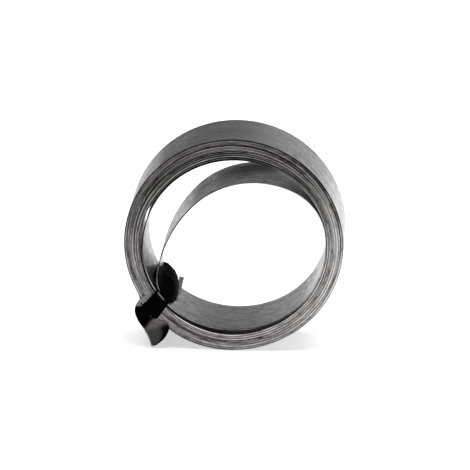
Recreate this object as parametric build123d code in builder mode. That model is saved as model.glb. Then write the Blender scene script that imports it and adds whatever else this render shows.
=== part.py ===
from build123d import *
from math import cos, radians, sin
import os

# A small coil of plain galvanized steel strapping, standing on its rim.
# The tight turns are one turned ring. The last inner turn hangs loose inside it,
# and the strip's inner end crosses the eye to the tape that ties the coil together.
# Millimetres. Z is up, the coil's axis lies along Y and its front faces -Y.

# The strip
strip_width = 40.0
strip_thickness = 0.6

# The ring of tight turns: each turn's edge stands a little in or out of its neighbours'
ring_radius = 57.5
turn_count = 13
turn_pitch = 0.65
edge_stagger = 0.3

# The loose strip, followed anticlockwise from inside the ring to its free end.
# Each bend is a radius and the angle that the strip turns through.
loose_start_angle = 0.0
loose_start_depth = 0.35
loose_start_lean = 0.3
loose_bends = [
    (45.0, 34.4),
    (49.0, 97.9),
    (48.0, 51.2),
    (43.0, 55.7),
    (52.0, 54.2),
    (46.0, 76.0),
    (30.0, 54.6),
    (46.0, 72.0),
    (67.0, 35.4),
    (18.0, 44.4),
]

# The tape: a slack loop round the bundle, pinched at the front, and its ends as a flag
tie_angle = 218.5
tape_width = 19.0
tape_thickness = 0.4
tape_gap = 0.15
pinched_width = 9.4
inner_corner_front = 44.8
inner_corner_back = 43.4
inner_slack = 41.5
slack_depth = 4.0
flag_thickness = 0.6

bore_radius = ring_radius - (turn_count - 1) * turn_pitch - strip_thickness
half_width = strip_width / 2
coil_centre = Vector(0, 0, ring_radius)

# Seen from the front, x is to the right and y is up, from the coil's own centre
coil_plane = Plane(origin=coil_centre, x_dir=(1, 0, 0), z_dir=(0, -1, 0))

# Seen from the front, x runs outward from the coil's centre through the middle of the tape
outward = Vector(cos(radians(tie_angle)), 0, sin(radians(tie_angle)))
tie_plane = Plane(origin=coil_centre, x_dir=outward, z_dir=coil_plane.z_dir)

# A cut through the tape's middle: x outward, y towards the front
tie_cut = Plane(origin=coil_centre, x_dir=outward, z_dir=outward.cross(coil_plane.z_dir))

os.makedirs("parts", exist_ok=True)


def on_circle(radius, angle):
    return Vector(radius * cos(radians(angle)), radius * sin(radians(angle)))


def ring_section():
    """Half section of the ring, in which every turn has its own edge at both ends."""
    upper = []
    for turn in range(turn_count):
        inner = bore_radius + turn * turn_pitch
        height = half_width - edge_stagger * abs(turn * 5 % 13 - 6) / 6
        upper += [(inner, height), (inner + strip_thickness, height)]
    lower = [(radius, -height) for radius, height in reversed(upper)]
    return upper + lower


def strip_side(shift):
    """One face of the loose strip: tangent arcs at a distance from its middle line."""
    start = on_circle(bore_radius + loose_start_depth + shift, loose_start_angle)
    heading = on_circle(1, loose_start_angle + 90 + loose_start_lean)
    side = []
    for radius, sweep in loose_bends:
        arc = JernArc(start, heading, radius + shift, sweep)
        start = arc @ 1
        heading = arc % 1
        side.append(arc)
    return side


with BuildPart() as strap:
    with BuildSketch(Plane(origin=coil_centre, x_dir=(1, 0, 0), z_dir=(0, 0, -1))):
        Polygon(*ring_section(), align=None)
    revolve(axis=Axis(coil_centre, (0, 1, 0)))
    with BuildSketch(coil_plane):
        with BuildLine():
            outer_side = strip_side(strip_thickness / 2)
            inner_side = strip_side(-strip_thickness / 2)
            Line(outer_side[0] @ 0, inner_side[0] @ 0)
            Line(outer_side[-1] @ 1, inner_side[-1] @ 1)
        make_face()
    extrude(amount=half_width, both=True)

strap.part.label = "strap"
export_step(strap.part, "parts/strap.step")

tape_face = half_width + tape_gap
outer_reach = ring_radius + tape_gap
half_tape = tape_width / 2
flare_start = 42.0
flare_end = 60.5
flare_middle = (flare_start + flare_end) / 2

with BuildPart() as tape_tie:
    with BuildSketch(tie_cut):
        with BuildLine():
            Polyline(
                (inner_corner_back, -tape_face),
                (outer_reach, -tape_face),
                (outer_reach, tape_face),
                (inner_corner_front, tape_face),
            )
            ThreePointArc(
                (inner_corner_front, tape_face),
                (inner_slack, slack_depth),
                (inner_corner_back, -tape_face),
            )
        wrapped = make_face()
        offset(amount=tape_thickness)
        add(wrapped, mode=Mode.SUBTRACT)
    extrude(amount=half_tape, both=True)
    with BuildSketch(tie_plane):
        with BuildLine():
            ThreePointArc(
                (flare_start, half_tape), (flare_middle, pinched_width / 2), (flare_end, half_tape)
            )
            Line((flare_end, half_tape), (flare_end, -half_tape))
            ThreePointArc(
                (flare_end, -half_tape), (flare_middle, -pinched_width / 2), (flare_start, -half_tape)
            )
            Polyline((flare_start, -half_tape), (0, -half_tape), (0, half_tape), (flare_start, half_tape))
        make_face()
    extrude(amount=strip_width, both=True, mode=Mode.INTERSECT)
    with BuildSketch(tie_plane.offset(tape_face + tape_thickness / 2)):
        with BuildLine():
            ThreePointArc((54.5, -5.5), (62.5, -4.3), (65.8, 2.5))
            ThreePointArc((65.8, 2.5), (66.0, 10.0), (68.0, 17.0))
            Line((68.0, 17.0), (65.8, 18.6))
            ThreePointArc((65.8, 18.6), (59.5, 17.6), (53.2, 13.0))
            Polyline((53.2, 13.0), (57.5, 6.0), (54.5, -5.5))
        make_face()
    extrude(amount=flag_thickness)

tape_tie.part.label = "tape_tie"
export_step(tape_tie.part, "parts/tape_tie.step")
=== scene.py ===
import math

import bmesh
import bpy
from mathutils import Matrix, Vector, noise


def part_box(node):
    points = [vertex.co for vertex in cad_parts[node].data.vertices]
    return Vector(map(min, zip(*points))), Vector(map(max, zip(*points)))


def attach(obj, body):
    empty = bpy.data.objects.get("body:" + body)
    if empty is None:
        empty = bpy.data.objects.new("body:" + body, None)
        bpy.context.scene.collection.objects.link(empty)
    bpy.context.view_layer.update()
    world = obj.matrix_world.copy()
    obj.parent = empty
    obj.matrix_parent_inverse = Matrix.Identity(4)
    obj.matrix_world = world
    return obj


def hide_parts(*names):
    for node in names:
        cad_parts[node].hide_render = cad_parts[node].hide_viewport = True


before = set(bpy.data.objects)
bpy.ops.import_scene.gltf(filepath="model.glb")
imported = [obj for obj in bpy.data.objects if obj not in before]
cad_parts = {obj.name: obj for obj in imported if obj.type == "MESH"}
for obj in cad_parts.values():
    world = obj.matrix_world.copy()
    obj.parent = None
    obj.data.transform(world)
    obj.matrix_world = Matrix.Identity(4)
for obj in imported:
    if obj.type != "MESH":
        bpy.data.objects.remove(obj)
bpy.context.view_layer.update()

# The coil as it was packed: it stands on its rim with its axis along Y and its front towards -Y
strapLow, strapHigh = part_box("strap")
ringRadius = (strapHigh[2] - strapLow[2]) / 2
axisHeight = (strapHigh[2] + strapLow[2]) / 2
halfWidth = (strapHigh[1] - strapLow[1]) / 2
frontFace = strapLow[1]
mm = 0.001


# Shared helpers

def onCircle(radius, angle):
    return Vector((radius * math.cos(math.radians(angle)), radius * math.sin(math.radians(angle))))


# 0 at a span's first place and 1 at its second, with a soft start and end
def fade(value, span):
    start, end = span
    share = min(max((value - start) / (end - start), 0.0), 1.0)
    return share * share * (3 - 2 * share)


# 1 in the middle of a hump and 0 from its reach outwards
def hump(distance, reach):
    return 0.5 + 0.5 * math.cos(math.pi * distance / reach) if abs(distance) < reach else 0.0


# The value at a place along a list of stops, each with its place first
def between(stops, place):
    for (a, low), (b, high) in zip(stops, stops[1:]):
        if place <= b:
            return low + (high - low) * min(max((place - a) / (b - a), 0.0), 1.0)
    return stops[-1][1]


# The same with its corners rounded off over a short reach
def rounded(stops, place, reach):
    spots = [place + reach * share / 3 for share in range(-3, 4)]
    return sum(between(stops, spot) for spot in spots) / len(spots)


# Slow drift from -1 to 1 along a length. Noise is 0 at whole numbers, so it is read halfway between two.
def wander(place, length, seed):
    return noise.noise(Vector((place / length, seed, 0.5)))


def deselect():
    bpy.ops.object.select_all(action="DESELECT")


def only(piece):
    deselect()
    piece.select_set(True)
    bpy.context.view_layer.objects.active = piece


def applyAll(piece):
    only(piece)
    for modifier in list(piece.modifiers):
        bpy.ops.object.modifier_apply(modifier=modifier.name)


# In edit mode, selects only the edges or faces that pass a test
def selectWhere(piece, kind, test):
    bpy.ops.mesh.select_mode(type=kind)
    bpy.ops.mesh.select_all(action="DESELECT")
    mesh = bmesh.from_edit_mesh(piece.data)
    for element in mesh.edges if kind == "EDGE" else mesh.faces:
        element.select_set(test(element))
    bmesh.update_edit_mesh(piece.data)


# A piece is drawn flat, as the coil is seen from the front, and is then turned up onto the coil's place
def standUp(piece):
    only(piece)
    piece.rotation_euler = (math.pi / 2, 0, 0)
    piece.location = (0, 0, axisHeight)
    bpy.ops.object.transform_apply(location=True, rotation=True, scale=True)


# The camera, at the photograph's place: distances in ring radii from the middle of the coil's front face,
# and angles in radians

cameraFacts = {
    "distance": 30.1621,
    "elevation": 0.2977,
    "azimuth": 0.0565,
    "roll": 0.0096,
    "aside": -0.0151,
    "above": -0.0994,
    "radiusPixels": 110.1823,
    "frameWidth": 470,
    "sensor": 36.0,
}


def makeCamera(facts):
    azimuth, elevation, roll = facts["azimuth"], facts["elevation"], facts["roll"]
    reach = math.cos(elevation)
    towards = Vector((math.sin(azimuth) * reach, -math.cos(azimuth) * reach, math.sin(elevation)))
    level = Vector((math.cos(azimuth), math.sin(azimuth), 0))
    upward = towards.cross(level)
    right = math.cos(roll) * level + math.sin(roll) * upward
    up = math.cos(roll) * upward - math.sin(roll) * level
    offset = facts["distance"] * towards - facts["aside"] * right - facts["above"] * up
    place = Vector((0, frontFace, axisHeight)) + ringRadius * offset
    data = bpy.data.cameras.new("photoCamera")
    data.sensor_width = facts["sensor"]
    data.lens = facts["sensor"] * facts["radiusPixels"] * facts["distance"] / facts["frameWidth"]
    camera = bpy.data.objects.new("photoCamera", data)
    bpy.context.collection.objects.link(camera)
    camera.matrix_world = Matrix.Translation(place) @ Matrix((right, up, towards)).transposed().to_4x4()
    bpy.context.scene.camera = camera
    print("camera set,", round(data.lens, 1), "mm lens")


# The steel strip. Angles are in degrees, anticlockwise as seen from the front, and run on from turn to turn.

strapFacts = {
    "thickness": 0.58 * mm,
    "gap": 0.02 * mm,
    "gapWander": 0.006 * mm,
    "gapWanderAngle": 40,
    "step": 1.0,
    "outerEnd": 222,
    "tightEnd": 5040,
    # outline of the outermost turn: angle, millimetres beyond the ring's radius
    "outline": [(222, 0.0), (238, 0.3), (252, 0.42), (270, -0.02), (292, -0.5), (312, -0.45), (335, -0.22),
                (362, -0.02), (420, -0.02), (450, -0.05), (500, -0.1), (540, -0.15), (582, -0.6)],
    "outlineRounding": 8,
    # how far the turns spread, all together, to follow the loose strip: angle, millimetres
    "spread": [(360, 0.0), (372, 0.1), (380, 0.3), (390, 0.62), (400, 1.05), (410, 1.57), (420, 2.0),
               (430, 2.3), (440, 2.45), (450, 2.54), (465, 2.6), (480, 2.57), (490, 2.48), (500, 2.27),
               (505, 2.03), (510, 1.63), (515, 1.37), (520, 1.17), (530, 0.6), (540, 0.2), (560, 0.08),
               (582, 0.0)],
    "spreadRounding": 6,
    # the gaps that take it up: number of the turn inside the gap, share, middle angle, reach
    "shares": [(2, 0.05, 420, 150), (3, 0.03, 500, 150), (5, 0.42, 452, 85), (6, 0.10, 430, 90),
               (7, 0.11, 480, 90), (8, 0.12, 500, 90), (9, 0.46, 475, 80), (10, 0.36, 455, 95),
               (11, 0.45, 470, 85), (12, 0.50, 445, 100)],
    # where turns stand off the next one out: number of the turn, middle angle, millimetres, reach
    "lifts": [(1, 250, 0.20, 26), (2, 246, 0.14, 24), (3, 240, 0.10, 20), (6, 300, 0.08, 60),
              (9, 320, 0.10, 60)],
    # the loose strip's bends: radius in millimetres, angle it turns through
    "bends": [(45, 34.4), (49, 97.9), (48, 51.2), (43, 55.7), (52, 54.2), (46, 76.0), (30, 54.6),
              (46, 72.0), (67, 35.4), (18, 44.4)],
    "bendLean": 0.3,
    "segment": 1.9 * mm,
    "edgeRound": 0.13 * mm,
    "edgeRoundSteps": 2,
    # the edges drift this far from side to side, over about this length
    "edgeWander": 0.15 * mm,
    "edgeWanderLength": 110 * mm,
    "edgeWanderSeed": 7.0,
    # distance from each edge to the row that keeps the wide faces flat when they are shaded smooth
    "flatReach": 0.6 * mm,
    "mergeReach": 0.01 * mm,
    "shadeAngle": 40,
}


# Gap between a tight turn and the one outside it. Turns are numbered inwards, and the outermost is 0.
def turnGap(facts, place, number):
    gap = facts["gap"] + facts["gapWander"] * wander(place, facts["gapWanderAngle"], number)
    weights = [(n, share * hump(place - middle, reach)) for n, share, middle, reach in facts["shares"]]
    total = sum(weight for n, weight in weights)
    own = sum(weight for n, weight in weights if n == number)
    if total > 0:
        gap += rounded(facts["spread"], place, facts["spreadRounding"]) * mm * own / total
    for n, middle, opening, reach in facts["lifts"]:
        if n == number:
            gap += opening * mm * hump(place - middle, reach)
    return gap


# Radius of the strip's middle line at each step of the tight turns, from the outer end inwards
def tightRadii(facts):
    thickness, start, step = facts["thickness"], facts["outerEnd"], facts["step"]
    turn = round(360 / step)
    radii = []
    for index in range(round((facts["tightEnd"] - start) / step) + 1):
        place = start + index % turn * step
        if index < turn:
            outline = rounded(facts["outline"], place, facts["outlineRounding"]) * mm
            radii.append(ringRadius + outline - thickness / 2)
        else:
            radii.append(radii[index - turn] - thickness - turnGap(facts, place, index // turn))
    return radii


# Middle line of the whole strip seen from the front, from its outer end inwards
def stripPath(facts):
    step = facts["step"]
    radii = tightRadii(facts)
    path = [onCircle(radius, facts["outerEnd"] + index * step) for index, radius in enumerate(radii)]
    heading = facts["tightEnd"] + 90 + facts["bendLean"]
    for bend, sweep in facts["bends"]:
        radius = bend * mm
        centre = path[-1] + onCircle(radius, heading + 90)
        count = round(sweep / step)
        path += [centre + onCircle(radius, heading - 90 + sweep * (n + 1) / count) for n in range(count)]
        heading += sweep
    print("strip's path: tight turns end at", round(radii[-1] / mm, 2), "mm from the axis,",
          "inner end at", round(path[-1].length / mm, 2), "mm")
    return path


def makeRoute(name, points):
    data = bpy.data.curves.new(name, "CURVE")
    data.dimensions = "2D"
    spline = data.splines.new("POLY")
    spline.points.add(len(points) - 1)
    for point, place in zip(spline.points, points):
        point.co = (place[0], place[1], 0, 1)
    route = bpy.data.objects.new(name, data)
    bpy.context.collection.objects.link(route)
    return route


# The whole strip while it is still straight: a short piece with rounded edges, repeated to the full length
def makeStraightStrip(facts, length):
    count = int(length / facts["segment"])
    segment = length / count
    deselect()
    bpy.ops.mesh.primitive_cube_add(size=1, location=(segment / 2, 0, 0))
    strip = bpy.context.object
    strip.name = "steelStrip"
    strip.scale = (segment, facts["thickness"], halfWidth * 2 - facts["edgeWander"] * 2)
    bpy.ops.object.transform_apply(location=True, rotation=True, scale=True)
    bpy.ops.object.mode_set(mode="EDIT")
    # the four edges that run along the strip
    selectWhere(strip, "EDGE", lambda edge: abs(edge.verts[0].co.x - edge.verts[1].co.x) > segment / 2)
    bpy.ops.mesh.bevel(offset=facts["edgeRound"], segments=facts["edgeRoundSteps"], affect="EDGES")
    for side in (-1, 1):
        bpy.ops.mesh.select_all(action="SELECT")
        bpy.ops.mesh.bisect(plane_co=(0, 0, side * (halfWidth - facts["flatReach"])), plane_no=(0, 0, 1))
    # the two ends, which open into the next piece
    selectWhere(strip, "FACE", lambda face: abs(face.normal.x) > 0.9)
    bpy.ops.mesh.delete(type="ONLY_FACE")
    bpy.ops.object.mode_set(mode="OBJECT")
    rows = strip.modifiers.new("rows", "ARRAY")
    rows.count = count
    rows.use_relative_offset = False
    rows.use_constant_offset = True
    rows.constant_offset_displace = (segment, 0, 0)
    rows.use_merge_vertices = True
    rows.merge_threshold = facts["mergeReach"]
    applyAll(strip)
    bpy.ops.object.mode_set(mode="EDIT")
    bpy.ops.mesh.select_all(action="SELECT")
    bpy.ops.mesh.fill_holes(sides=0)
    bpy.ops.mesh.normals_make_consistent(inside=False)
    bpy.ops.object.mode_set(mode="OBJECT")
    return strip


# A map in metres: U along the strip and V across it, read while the strip is still straight
def addStripMap(strip):
    layer = strip.data.uv_layers[0]
    layer.name = "alongStrip"
    for polygon in strip.data.polygons:
        for corner in polygon.loop_indices:
            place = strip.data.vertices[strip.data.loops[corner].vertex_index].co
            layer.data[corner].uv = (place.x, place.z)


def makeStrap(facts):
    path = stripPath(facts)
    length = sum((b - a).length for a, b in zip(path, path[1:]))
    strip = makeStraightStrip(facts, length)
    addStripMap(strip)
    for vertex in strip.data.vertices:
        drift = wander(vertex.co.x, facts["edgeWanderLength"], facts["edgeWanderSeed"])
        vertex.co.z += facts["edgeWander"] * drift
    route = makeRoute("stripRoute", path)
    bend = strip.modifiers.new("bend", "CURVE")
    bend.object = route
    bend.deform_axis = "POS_X"
    applyAll(strip)
    bpy.data.objects.remove(route)
    bpy.ops.object.shade_smooth_by_angle(angle=math.radians(facts["shadeAngle"]))
    standUp(strip)
    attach(strip, "root")
    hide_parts("strap")
    print("steel strip:", round(length, 3), "m long,", len(strip.data.polygons), "faces")
    return strip


# The black tape, in millimetres in the tie's own place: distance from the coil's axis, distance clockwise of
# the tie's middle line, and depth towards the front. A span says where something begins and where it is full.

tieFacts = {
    "angle": 218.5,
    "thickness": 0.22 * mm,
    "frontLimit": 20.62,
    "shadeAngle": 50,
    # the wrap: distance from the axis, depth, the tape's two edges clockwise of the middle
    "wrapGrid": (150, 28),
    "wrap": [(58.6, 20.30, -7.8, 3.4), (55.0, 20.42, -6.9, 3.7), (51.0, 20.36, -5.6, 4.3),
             (47.6, 20.42, -4.5, 5.0), (46.75, 20.0, -4.4, 6.0), (46.5, 18.6, -4.8, 15.2),
             (46.5, 12.0, -7.2, 13.2), (46.5, 2.0, -8.2, 10.3), (46.5, -10.0, -8.0, 7.0),
             (46.5, -18.6, -7.6, 5.0), (46.9, -20.1, -7.8, 5.2), (48.4, -20.3, -8.8, 7.5),
             (53.0, -20.3, -9.5, 9.4), (57.0, -20.3, -9.5, 9.5), (57.9, -20.0, -9.5, 9.5),
             (58.05, -18.0, -9.5, 9.5), (58.05, 0.0, -9.4, 9.4), (58.05, 12.0, -8.8, 8.6),
             (58.1, 19.0, -7.8, 6.0), (58.7, 20.0, -7.4, 4.5)],
    # spans of the wrap's inner run: distance from the axis, depth
    "inside": (50, 47),
    "behindFace": (20.2, 18.2),
    # what is added to the inner run's distance, to follow the strip's inner end: clockwise, millimetres
    "innerEnd": [(-9.5, 0.9), (-2.0, 0.5), (0.0, -0.05), (3.0, -0.45), (5.0, -0.8), (7.0, -1.45),
                 (9.0, -2.15), (11.0, -3.25), (12.5, -4.1), (16.0, -6.9)],
    # how far the slack inner run sags towards the eye: depth, millimetres
    "slack": [(-20.1, 3.4), (-18.6, 3.8), (-8.0, 4.7), (3.0, 4.9), (12.0, 2.3), (18.6, 0.0)],
    "slackMiddle": -1.5,
    "slackReachLow": 9.0,
    "slackReachHigh": 15.0,
    # the torn edges: depth of the tears, the share of the wrap's length that each takes, a seed for each edge
    "tear": 0.5,
    "tearLength": 0.011,
    "tearSeeds": (3.0, 6.0),
    # creases: their depth, how many lie along and across the wrap, with a seed, and each run's share of them
    "creases": 0.16,
    "broadCreases": (9, 5.5, 4.0),
    "fineCreases": (30, 9, 8.0),
    "fineShare": 0.5,
    "pinchedCreases": 1.2,
    "slackCreases": 1.6,
    "tightCreases": 0.25,
    # the span of half widths over which the wrap is pinched, and creased in depth
    "pinch": (9.6, 4.6),
    # the painted highlight on the fold by the ring's inner edge: middle and reach along the wrap, spans
    # across it, from 0 to 1
    "foldMiddle": 0.165,
    "foldReach": 0.016,
    "foldStart": (0.25, 0.45),
    "foldEnd": (0.92, 0.82),
    # the flag's two edges, from the ring to its tip: distance from the axis, clockwise, depth
    "flagGrid": (60, 26),
    "flagOuter": [(53.6, 6.4, 20.5), (57.2, 6.6, 20.2), (61.0, 5.2, 18.8), (64.2, 2.4, 18.4),
                  (65.7, -2.4, 18.9), (66.0, -7.8, 19.8), (66.9, -12.8, 20.3), (68.0, -16.2, 20.55),
                  (68.6, -17.5, 20.6)],
    "flagInner": [(54.6, 3.6, 20.15), (57.4, 2.0, 20.2), (58.2, -1.6, 20.5), (58.4, -5.0, 20.6),
                  (56.4, -8.6, 20.6), (53.8, -12.4, 20.5), (55.6, -16.0, 20.45), (60.6, -18.3, 20.5),
                  (66.2, -18.6, 20.6)],
    "flagCreases": (7, 3.2, 2.0),
    "flagRipple": 0.5,
    # the flag's dent: depth, then its middle and reach along and across the flag, from 0 to 1
    "dent": 0.9,
    "dentAlong": (0.35, 0.3),
    "dentAcross": (0.45, 0.4),
    # where the flag shows its sticky side: by the ring, on its lower half, along its outer rim, at its tip;
    # on the lower half the mark fades towards the end and the inner side as painted shade
    "ringEnd": (0.3, 0.26),
    "ringEndSlant": 0.16,
    "ringEndMark": 0.95,
    "petal": (0.62, 0.67),
    "petalSlant": 0.22,
    "petalMark": 0.62,
    "petalLoss": 0.4,
    "petalEnd": (0.58, 0.70),
    "petalSide": (0.5, 0.8),
    "rimAlong": (0.58, 0.64),
    "rimAcross": (0.07, 0.03),
    "rimMark": 0.9,
    "tipAlong": (0.9, 0.95),
    "tipAcross": (0.3, 0.2),
    # the loose lip of tape beside the inner run: its two edges, from the front to the back
    "lipGrid": (40, 12),
    "lipOuter": [(47.1, -5.0, 9.0), (46.1, -12.2, 0.5), (45.9, -10.0, -13.0), (41.6, -6.4, -20.0)],
    "lipInner": [(46.9, -4.0, 11.0), (46.6, -7.4, 0.5), (46.0, -7.2, -13.0), (43.2, -4.2, -20.0)],
    "lipCreases": (6, 4, 5.0),
    "lipRipple": 0.25,
    "lipMark": 0.7,
}


# A smooth curve through a list of points, read at a place from 0 to 1
def alongPoints(points, place):
    spot = min(max(place, 0.0), 0.99999) * (len(points) - 1)
    n = int(spot)
    t = spot - n
    a, b = Vector(points[max(n - 1, 0)]), Vector(points[n])
    c, d = Vector(points[n + 1]), Vector(points[min(n + 2, len(points) - 1)])
    return 0.5 * (2 * b + (c - a) * t + (2 * a - 5 * b + 4 * c - d) * t ** 2
                  + (3 * b - a - 3 * c + d) * t ** 3)


def crumple(along, across, creases):
    lengthwise, crosswise, seed = creases
    return noise.noise(Vector((along * lengthwise, across * crosswise, seed)))


# From the tie's own place to the coil's, drawn flat as seen from the front
def tiePlace(facts, outward, clockwise, depth):
    angle = math.radians(facts["angle"])
    x = outward * math.cos(angle) + clockwise * math.sin(angle)
    y = outward * math.sin(angle) - clockwise * math.cos(angle)
    return Vector((x, y, depth)) * mm


def wrapShape(facts, along, across):
    distance, depth, low, high = alongPoints(facts["wrap"], along)
    lowSeed, highSeed = facts["tearSeeds"]
    low += facts["tear"] * wander(along, facts["tearLength"], lowSeed)
    high += facts["tear"] * wander(along, facts["tearLength"], highSeed)
    clockwise = low + (high - low) * across
    crease = crumple(along, across, facts["broadCreases"])
    crease += facts["fineShare"] * crumple(along, across, facts["fineCreases"])
    pinched = fade(abs(high - low) / 2, facts["pinch"])
    depth += facts["creases"] * crease * pinched * facts["pinchedCreases"]
    depth = min(depth, facts["frontLimit"])
    inside = fade(distance, facts["inside"])
    innerRun = inside * fade(depth, facts["behindFace"])
    distance += innerRun * between(facts["innerEnd"], clockwise)
    reach = facts["slackReachLow"] if clockwise < facts["slackMiddle"] else facts["slackReachHigh"]
    slack = between(facts["slack"], depth) * hump(clockwise - facts["slackMiddle"], reach)
    distance -= inside * slack
    distance += facts["creases"] * crease * (facts["slackCreases"] * innerRun + facts["tightCreases"])
    angle = clockwise / max(distance, 1)
    # a painted highlight along the fold, carried in the mark that turns the tape pale
    paintedFoldHighlight = hump(along - facts["foldMiddle"], facts["foldReach"])
    paintedFoldHighlight *= fade(across, facts["foldStart"]) * fade(across, facts["foldEnd"])
    return tiePlace(facts, distance * math.cos(angle), distance * math.sin(angle), depth), paintedFoldHighlight


def flagShape(facts, along, across):
    outer = alongPoints(facts["flagOuter"], along)
    inner = alongPoints(facts["flagInner"], along)
    spot = outer.lerp(inner, across)
    alongMiddle, alongReach = facts["dentAlong"]
    acrossMiddle, acrossReach = facts["dentAcross"]
    ripple = facts["flagRipple"] * crumple(along, across, facts["flagCreases"]) * (1 - across)
    dent = facts["dent"] * hump(across - acrossMiddle, acrossReach) * hump(along - alongMiddle, alongReach)
    spot.z = min(spot.z + ripple - dent, facts["frontLimit"])
    ringEnd = facts["ringEndMark"] * fade(along + facts["ringEndSlant"] * across, facts["ringEnd"])
    # painted shade: the petal's pale mark fades towards its end and towards its inner side
    paintedPetalShade = fade(along, facts["petalEnd"])
    petal = fade(along + facts["petalSlant"] * across, facts["petal"])
    petal *= facts["petalMark"] - facts["petalLoss"] * paintedPetalShade
    petal *= 1 - paintedPetalShade * fade(across, facts["petalSide"])
    rim = facts["rimMark"] * fade(along, facts["rimAlong"]) * fade(across, facts["rimAcross"])
    tip = fade(along, facts["tipAlong"]) * fade(across, facts["tipAcross"])
    return tiePlace(facts, spot.x, spot.y, spot.z), max(ringEnd, petal, rim, tip)


def lipShape(facts, along, across):
    outer = alongPoints(facts["lipOuter"], along)
    inner = alongPoints(facts["lipInner"], along)
    spot = inner.lerp(outer, across)
    spot.x += facts["lipRipple"] * crumple(along, across, facts["lipCreases"])
    return tiePlace(facts, spot.x, spot.y, spot.z), facts["lipMark"]


# A flat grid, each of whose points is moved to its place on the tape and marked where the sticky side shows,
# and where highlight and shade are painted
def makeSheet(name, facts, grid, shape):
    columns, rows = grid
    deselect()
    bpy.ops.mesh.primitive_grid_add(x_subdivisions=columns, y_subdivisions=rows, size=1)
    sheet = bpy.context.object
    sheet.name = name
    stickyAndPaintedLight = sheet.data.attributes.new("stickyAndPaintedLight", "FLOAT", "POINT")
    for vertex in sheet.data.vertices:
        place, mark = shape(facts, vertex.co.x + 0.5, vertex.co.y + 0.5)
        vertex.co = place
        stickyAndPaintedLight.data[vertex.index].value = mark
    return sheet


def makeTie(facts):
    tie = makeSheet("tapeTie", facts, facts["wrapGrid"], wrapShape)
    flag = makeSheet("tapeFlag", facts, facts["flagGrid"], flagShape)
    lip = makeSheet("tapeLip", facts, facts["lipGrid"], lipShape)
    only(tie)
    flag.select_set(True)
    lip.select_set(True)
    bpy.ops.object.join()
    film = tie.modifiers.new("filmThickness", "SOLIDIFY")
    film.thickness = facts["thickness"]
    film.offset = 0
    applyAll(tie)
    bpy.ops.object.mode_set(mode="EDIT")
    bpy.ops.mesh.select_all(action="SELECT")
    bpy.ops.mesh.normals_make_consistent(inside=False)
    bpy.ops.object.mode_set(mode="OBJECT")
    bpy.ops.object.shade_smooth_by_angle(angle=math.radians(facts["shadeAngle"]))
    standUp(tie)
    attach(tie, "root")
    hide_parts("tape_tie")
    print("tape tie:", len(tie.data.polygons), "faces")
    return tie


# Helpers for the materials

def newMaterial(name):
    material = bpy.data.materials.new(name)
    material.use_nodes = True
    return material, material.node_tree, material.node_tree.nodes["Principled BSDF"]


def dress(piece, material):
    piece.data.materials.clear()
    piece.data.materials.append(material)


def newGroup(name, inputs, outputs):
    group = bpy.data.node_groups.new(name, "ShaderNodeTree")
    for label, kind in inputs:
        group.interface.new_socket(name=label, in_out="INPUT", socket_type=kind)
    for label, kind in outputs:
        group.interface.new_socket(name=label, in_out="OUTPUT", socket_type=kind)
    return group, group.nodes.new("NodeGroupInput"), group.nodes.new("NodeGroupOutput")


def addNode(tree, kind, **settings):
    node = tree.nodes.new(kind)
    for name, value in settings.items():
        setattr(node, name, value)
    return node


# A value or a link goes into a socket
def feed(tree, socket, source):
    if isinstance(source, (int, float, tuple)):
        socket.default_value = source
    else:
        tree.links.new(source, socket)


def doMath(tree, operation, *values):
    node = addNode(tree, "ShaderNodeMath", operation=operation)
    for socket, value in zip(node.inputs, values):
        feed(tree, socket, value)
    return node.outputs[0]


# The sum of some tones, each with the share that it has in it
def addShares(tree, *tones):
    total, *rest = [doMath(tree, "MULTIPLY", tone, share) for tone, share in tones]
    for part in rest:
        total = doMath(tree, "ADD", total, part)
    return total


# From one span to another, and no further than its ends
def remap(tree, value, span, result=(0.0, 1.0)):
    node = addNode(tree, "ShaderNodeMapRange")
    sockets = ("Value", "From Min", "From Max", "To Min", "To Max")
    for name, source in zip(sockets, (value, *span, *result)):
        feed(tree, node.inputs[name], source)
    return node.outputs["Result"]


def mixColour(tree, factor, first, second, blend="MIX"):
    node = addNode(tree, "ShaderNodeMix", data_type="RGBA", blend_type=blend)
    feed(tree, node.inputs["Factor"], factor)
    feed(tree, node.inputs[6], first)
    feed(tree, node.inputs[7], second)
    return node.outputs[2]


def darken(tree, colour, tone):
    grey = addNode(tree, "ShaderNodeCombineColor")
    for socket in grey.inputs[:3]:
        feed(tree, socket, tone)
    return mixColour(tree, 1.0, colour, grey.outputs["Color"], "MULTIPLY")


def noiseAt(tree, vector, detail, scale=1.0, roughness=0.5):
    node = addNode(tree, "ShaderNodeTexNoise")
    feed(tree, node.inputs["Vector"], vector)
    feed(tree, node.inputs["Scale"], scale)
    feed(tree, node.inputs["Detail"], detail)
    feed(tree, node.inputs["Roughness"], roughness)
    return node.outputs["Fac"]


def stretch(tree, vector, scale):
    node = addNode(tree, "ShaderNodeMapping")
    feed(tree, node.inputs["Vector"], vector)
    node.inputs["Scale"].default_value = scale
    return node.outputs["Vector"]


def splitVector(tree, vector):
    node = addNode(tree, "ShaderNodeSeparateXYZ")
    feed(tree, node.inputs["Vector"], vector)
    return node.outputs


def placeOnObject(tree):
    return addNode(tree, "ShaderNodeTexCoord").outputs["Object"]


def roughen(tree, shader, height, strength, distance):
    bump = addNode(tree, "ShaderNodeBump")
    bump.inputs["Strength"].default_value = strength
    bump.inputs["Distance"].default_value = distance
    feed(tree, bump.inputs["Height"], height)
    feed(tree, shader.inputs["Normal"], bump.outputs["Normal"])


# Galvanized steel. Patterns are in repeats to the metre, along the strip and across it.

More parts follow.
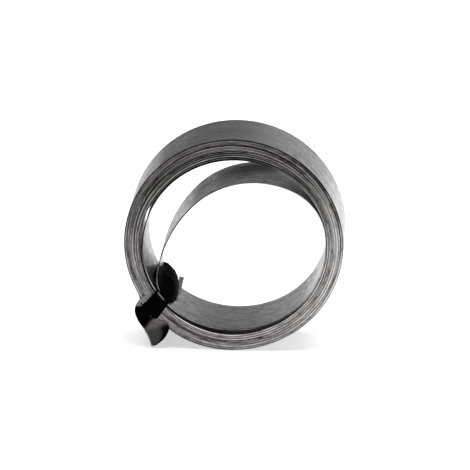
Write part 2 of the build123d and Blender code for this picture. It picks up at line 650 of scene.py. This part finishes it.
steelFacts = {
    "crystals": 620.0,
    "crystalStretch": (0.6, 1, 1),
    "streaks": (18, 900, 1),
    "patches": (14, 45, 1),
    "crystalShare": 0.6,
    "streakShare": 0.2,
    "patchShare": 0.2,
    "faceTones": (0.38, 0.62),
    "darkZinc": (0.30, 0.30, 0.305, 1),
    "paleZinc": (0.66, 0.66, 0.66, 1),
    "metallic": 0.9,
    # roughness seen straight on and at a glance, the span of glancing, and the change from crystal to crystal
    "roughness": 0.34,
    "glancingRoughness": 0.29,
    "glancing": (0.7, 0.97),
    "crystalTones": (0.35, 0.65),
    "crystalRoughness": 0.05,
    "bumpStrength": 0.7,
    "bumpDistance": 0.12 * mm,
    # the slit edge: where it starts across the strip, and the painted shade at its foot, on the rounded
    # corner, which darkens the lines between turns
    "edgeStart": (halfWidth - 0.75 * mm, halfWidth - 0.45 * mm),
    "paintedCornerShade": (halfWidth - 0.28 * mm, halfWidth - 0.17 * mm),
    "cornerShadeTone": 0.1,
    "darkEdge": (0.035, 0.033, 0.033, 1),
    "paleEdge": (0.46, 0.45, 0.45, 1),
    "slowTones": (12, 0, 1),
    "grain": (110, 0, 1),
    "slowShare": 0.6,
    "grainShare": 0.4,
    "grainRoughness": 0.75,
    "edgeTones": (0.42, 0.58),
    # painted light on the slit edges: their tone from the bottom of the coil to the top, and what is added
    # from the left to the right
    "paintedLightBottomToTop": (1.72, 0.88),
    "paintedLightLeftToRight": (-0.35, 0.0),
    # every other tight turn is paler: radius of the outermost, distance from turn to turn, length of them all
    "turnRadius": ringRadius - 0.29 * mm,
    "turnPitch": 0.6 * mm,
    "tightLength": 4.47,
    "turnContrast": 0.38,
    # stretches with a darker or paler slit edge: middle and half length along the strip in metres, tone; the
    # two darker ones are painted shade, on the outermost turn's corner line at the top and on the loose
    # turn's front edge, and the paler one lies on the innermost tight turn
    "edgeStretchesWithPaintedShade": [(0.228, 0.09, 0.25), (4.386, 0.034, 1.5), (4.585, 0.04, 0.03)],
    # painted shade on the innermost tight turn's faces, in the gap beside the loose turn
    "gapPaintedShade": (4.40, 0.075, 0.08),
    "stretchFade": 0.012,
}


# Scales are against a crystal's own: the clouds are wider than one, and the fine grain is finer
spangleFacts = {
    "cloudScale": 0.3,
    "cloudRoughness": 0.65,
    "fineScale": 2.2,
    "cellShare": 0.3,
    "cloudShare": 0.5,
    "fineShare": 0.2,
    "fineHeight": 1.0,
    "cloudHeight": 1.5,
}


# Zinc crystals and the soft cloudiness of a galvanized face
def makeSpangleGroup(facts):
    group, start, end = newGroup(
        "zincSpangle",
        [("Vector", "NodeSocketVector"), ("Crystals", "NodeSocketFloat")],
        [("Tone", "NodeSocketFloat"), ("Height", "NodeSocketFloat")])
    place, crystals = start.outputs["Vector"], start.outputs["Crystals"]
    cells = addNode(group, "ShaderNodeTexVoronoi", feature="F1")
    feed(group, cells.inputs["Vector"], place)
    feed(group, cells.inputs["Scale"], crystals)
    shade = addNode(group, "ShaderNodeSeparateColor")
    feed(group, shade.inputs["Color"], cells.outputs["Color"])
    cloudScale = doMath(group, "MULTIPLY", crystals, facts["cloudScale"])
    fineScale = doMath(group, "MULTIPLY", crystals, facts["fineScale"])
    cloud = noiseAt(group, place, detail=4.0, scale=cloudScale, roughness=facts["cloudRoughness"])
    fine = noiseAt(group, place, detail=2.0, scale=fineScale)
    tone = addShares(group, (shade.outputs[0], facts["cellShare"]), (cloud, facts["cloudShare"]),
                     (fine, facts["fineShare"]))
    height = addShares(group, (fine, facts["fineHeight"]), (cloud, facts["cloudHeight"]))
    feed(group, end.inputs["Tone"], tone)
    feed(group, end.inputs["Height"], height)
    return group


# A tone over one stretch of the strip, and 1 elsewhere
def stretchTone(tree, along, stop, facts):
    middle, half, tone = stop
    distance = doMath(tree, "ABSOLUTE", doMath(tree, "SUBTRACT", along, middle))
    return remap(tree, distance, (half - facts["stretchFade"], half + facts["stretchFade"]), (tone, 1.0))


# The tone of each tight turn, from the number of turns that fit into the strip's length so far
def turnParity(tree, along, facts):
    radius, pitch = facts["turnRadius"], facts["turnPitch"]
    left = doMath(tree, "SUBTRACT", radius ** 2, doMath(tree, "MULTIPLY", along, pitch / math.pi))
    count = doMath(tree, "DIVIDE", doMath(tree, "SUBTRACT", radius, doMath(tree, "SQRT", left)), pitch)
    odd = doMath(tree, "GREATER_THAN", doMath(tree, "FRACT", doMath(tree, "MULTIPLY", count, 0.5)), 0.5)
    tight = doMath(tree, "LESS_THAN", along, facts["tightLength"])
    change = remap(tree, odd, (0.0, 1.0), (-facts["turnContrast"], facts["turnContrast"]))
    return doMath(tree, "MULTIPLY_ADD", change, tight, 1.0)


def wideFaceColour(tree, facts, strapMap, along, crystalTone):
    streaks = noiseAt(tree, stretch(tree, strapMap, facts["streaks"]), detail=3.0)
    patches = noiseAt(tree, stretch(tree, strapMap, facts["patches"]), detail=2.0)
    tone = addShares(tree, (crystalTone, facts["crystalShare"]), (streaks, facts["streakShare"]),
                     (patches, facts["patchShare"]))
    zinc = mixColour(tree, remap(tree, tone, facts["faceTones"]), facts["darkZinc"], facts["paleZinc"])
    # painted shade on the innermost tight turn's faces, in the gap beside the loose turn
    return darken(tree, zinc, stretchTone(tree, along, facts["gapPaintedShade"], facts))


def slitEdgeColour(tree, facts, strapMap, along, outward):
    slow = noiseAt(tree, stretch(tree, strapMap, facts["slowTones"]), detail=2.0)
    grain = noiseAt(tree, stretch(tree, strapMap, facts["grain"]), detail=4.0,
                    roughness=facts["grainRoughness"])
    tone = addShares(tree, (slow, facts["slowShare"]), (grain, facts["grainShare"]))
    slit = mixColour(tree, remap(tree, tone, facts["edgeTones"]), facts["darkEdge"], facts["paleEdge"])
    place = splitVector(tree, placeOnObject(tree))
    # painted light: the slit edges are paler towards the bottom of the coil and darker towards the left
    edgeToneAndPaintedLight = doMath(tree, "ADD", remap(tree, place["Z"], (0.0, ringRadius * 2), facts["paintedLightBottomToTop"]),
                  remap(tree, place["X"], (-ringRadius, ringRadius), facts["paintedLightLeftToRight"]))
    # painted shade on two stretches of the slit edge, and one paler stretch on the innermost tight turn
    for stop in facts["edgeStretchesWithPaintedShade"]:
        edgeToneAndPaintedLight = doMath(tree, "MULTIPLY", edgeToneAndPaintedLight, stretchTone(tree, along, stop, facts))
    edgeToneAndPaintedLight = doMath(tree, "MULTIPLY", edgeToneAndPaintedLight, turnParity(tree, along, facts))
    # painted shade on the rounded corner, standing in for the shadow between one turn and the next
    paintedCornerShade = remap(tree, outward, facts["paintedCornerShade"], (facts["cornerShadeTone"], 1.0))
    return darken(tree, slit, doMath(tree, "MULTIPLY", edgeToneAndPaintedLight, paintedCornerShade))


def makeSteel(facts):
    material, tree, shader = newMaterial("galvanizedSteel")
    strapMap = addNode(tree, "ShaderNodeUVMap", uv_map="alongStrip").outputs["UV"]
    parts = splitVector(tree, strapMap)
    along, outward = parts["X"], doMath(tree, "ABSOLUTE", parts["Y"])
    spangle = addNode(tree, "ShaderNodeGroup", node_tree=makeSpangleGroup(spangleFacts))
    feed(tree, spangle.inputs["Vector"], stretch(tree, strapMap, facts["crystalStretch"]))
    spangle.inputs["Crystals"].default_value = facts["crystals"]
    crystalTone = spangle.outputs["Tone"]
    face = wideFaceColour(tree, facts, strapMap, along, crystalTone)
    slit = slitEdgeColour(tree, facts, strapMap, along, outward)
    edge = remap(tree, outward, facts["edgeStart"])
    feed(tree, shader.inputs["Base Color"], mixColour(tree, edge, face, slit))
    shader.inputs["Metallic"].default_value = facts["metallic"]
    facing = addNode(tree, "ShaderNodeLayerWeight").outputs["Facing"]
    shine = remap(tree, facing, facts["glancing"], (facts["roughness"], facts["glancingRoughness"]))
    change = remap(tree, crystalTone, facts["crystalTones"],
                   (facts["crystalRoughness"], -facts["crystalRoughness"]))
    feed(tree, shader.inputs["Roughness"], doMath(tree, "ADD", shine, change))
    roughen(tree, shader, spangle.outputs["Height"], facts["bumpStrength"], facts["bumpDistance"])
    print("galvanized steel:", len(tree.nodes), "nodes")
    return material


tapeFacts = {
    "black": (0.002, 0.002, 0.0025, 1),
    # the pale grey of the sticky side, also used for the painted highlight on the fold
    "stickyAndPaintedLight": (0.42, 0.41, 0.4, 1),
    "gloss": 0.002,
    "roughness": 0.5,
    "stickyRoughness": 0.6,
    # the sticky side is smeared: smears to the metre, their unevenness, span of tones, how pale they leave it
    "smears": 900.0,
    "smearRoughness": 0.7,
    "smearTones": (0.3, 0.6),
    "smearMarks": (0.65, 1.0),
    "wrinkles": 500.0,
    "bumpStrength": 0.5,
    "bumpDistance": 0.1 * mm,
}


def makeTapeMaterial(facts):
    material, tree, shader = newMaterial("blackTape")
    shader.inputs["Specular IOR Level"].default_value = facts["gloss"]
    place = placeOnObject(tree)
    # the pale mark: the sticky side, with a painted highlight on the fold and painted shade on the petal
    mark = addNode(tree, "ShaderNodeAttribute", attribute_name="stickyAndPaintedLight").outputs["Fac"]
    smear = noiseAt(tree, place, detail=4.0, scale=facts["smears"], roughness=facts["smearRoughness"])
    stickyAndPaintedLight = doMath(tree, "MULTIPLY", mark, remap(tree, smear, facts["smearTones"], facts["smearMarks"]))
    feed(tree, shader.inputs["Base Color"], mixColour(tree, stickyAndPaintedLight, facts["black"], facts["stickyAndPaintedLight"]))
    feed(tree, shader.inputs["Roughness"],
         remap(tree, stickyAndPaintedLight, (0.0, 1.0), (facts["roughness"], facts["stickyRoughness"])))
    wrinkles = noiseAt(tree, place, detail=3.0, scale=facts["wrinkles"])
    roughen(tree, shader, wrinkles, facts["bumpStrength"], facts["bumpDistance"])
    print("black tape:", len(tree.nodes), "nodes")
    return material


# The floor and the light

stageFacts = {
    "floorSize": 14,
    "floorColour": (0.88, 0.88, 0.88, 1),
    "floorRoughness": 0.9,
    # the floor glows a little for the camera, and for the rays that are mirrored in the steel
    "floorGlow": 0.5,
    "floorGlint": 0.42,
    # those rays find it darker towards the left, a painted reflection that shades the steel on the coil's
    # left: its colour there, and the span in metres along X
    "paintedReflectionColour": (0.47, 0.47, 0.47, 1),
    "paintedReflectionSpan": (-0.15, 0.1),
    # brightness of the room on the left and on the right, and the span of directions between them
    "room": (0.0, 0.5),
    "roomSpan": (0.0, 0.35),
    # a low white card behind the coil, seen only in the steel: middle, width and height, brightness
    "cardPlace": (-0.08, 0.5, 0.065),
    "cardSize": (0.16, 0.13),
    "cardGlow": 0.75,
    # a large soft lamp overhead
    "lampPlace": (0, 0.2, 2.2),
    "lampTarget": (0, 0, 0.05),
    "lampSize": 2.4,
    "lampPower": 60.0,
}


def makeFloor(facts):
    deselect()
    bpy.ops.mesh.primitive_plane_add(size=facts["floorSize"], location=(0, 0, 0))
    floor = bpy.context.object
    floor.name = "floor"
    material, tree, shader = newMaterial("paleFloor")
    shader.inputs["Roughness"].default_value = facts["floorRoughness"]
    shader.inputs["Emission Color"].default_value = (1, 1, 1, 1)
    path = addNode(tree, "ShaderNodeLightPath").outputs
    mirrored = doMath(tree, "MAXIMUM", path["Is Glossy Ray"], path["Is Transmission Ray"])
    # painted reflection: the steel sees the floor darker towards the left
    leftForPaintedReflection = remap(tree, splitVector(tree, placeOnObject(tree))["X"], facts["paintedReflectionSpan"], (1.0, 0.0))
    paintedReflectionShade = doMath(tree, "MULTIPLY", mirrored, leftForPaintedReflection)
    feed(tree, shader.inputs["Base Color"], mixColour(tree, paintedReflectionShade, facts["floorColour"], facts["paintedReflectionColour"]))
    feed(tree, shader.inputs["Emission Strength"],
         addShares(tree, (path["Is Camera Ray"], facts["floorGlow"]), (mirrored, facts["floorGlint"])))
    dress(floor, material)


def makeRoom(facts):
    world = bpy.data.worlds.new("softRoom")
    bpy.context.scene.world = world
    world.use_nodes = True
    tree = world.node_tree
    back = tree.nodes["Background"]
    back.inputs["Color"].default_value = (1, 1, 1, 1)
    direction = splitVector(tree, addNode(tree, "ShaderNodeTexCoord").outputs["Generated"])
    feed(tree, back.inputs["Strength"], remap(tree, direction["X"], facts["roomSpan"], facts["room"]))


def makeCard(facts):
    deselect()
    bpy.ops.mesh.primitive_plane_add(size=1, location=facts["cardPlace"], rotation=(math.pi / 2, 0, 0))
    card = bpy.context.object
    card.name = "backCard"
    card.scale = (*facts["cardSize"], 1)
    bpy.ops.object.transform_apply(location=True, rotation=True, scale=True)
    card.visible_camera = False
    card.visible_diffuse = False
    card.visible_shadow = False
    material, tree, shader = newMaterial("whiteCard")
    shader.inputs["Base Color"].default_value = (0, 0, 0, 1)
    shader.inputs["Emission Color"].default_value = (1, 1, 1, 1)
    shader.inputs["Emission Strength"].default_value = facts["cardGlow"]
    dress(card, material)


def makeLamp(facts):
    data = bpy.data.lights.new("overheadLamp", "AREA")
    data.shape = "SQUARE"
    data.size = facts["lampSize"]
    data.energy = facts["lampPower"]
    lamp = bpy.data.objects.new("overheadLamp", data)
    bpy.context.collection.objects.link(lamp)
    lamp.location = facts["lampPlace"]
    aim = Vector(facts["lampTarget"]) - Vector(facts["lampPlace"])
    lamp.rotation_euler = aim.to_track_quat("-Z", "Y").to_euler()


def makeStage(facts):
    makeFloor(facts)
    makeRoom(facts)
    makeCard(facts)
    makeLamp(facts)
    bpy.context.scene.view_settings.view_transform = "Standard"
    print("stage: floor, room, card and lamp")


makeCamera(cameraFacts)
dress(makeStrap(strapFacts), makeSteel(steelFacts))
dress(makeTie(tieFacts), makeTapeMaterial(tapeFacts))
makeStage(stageFacts)
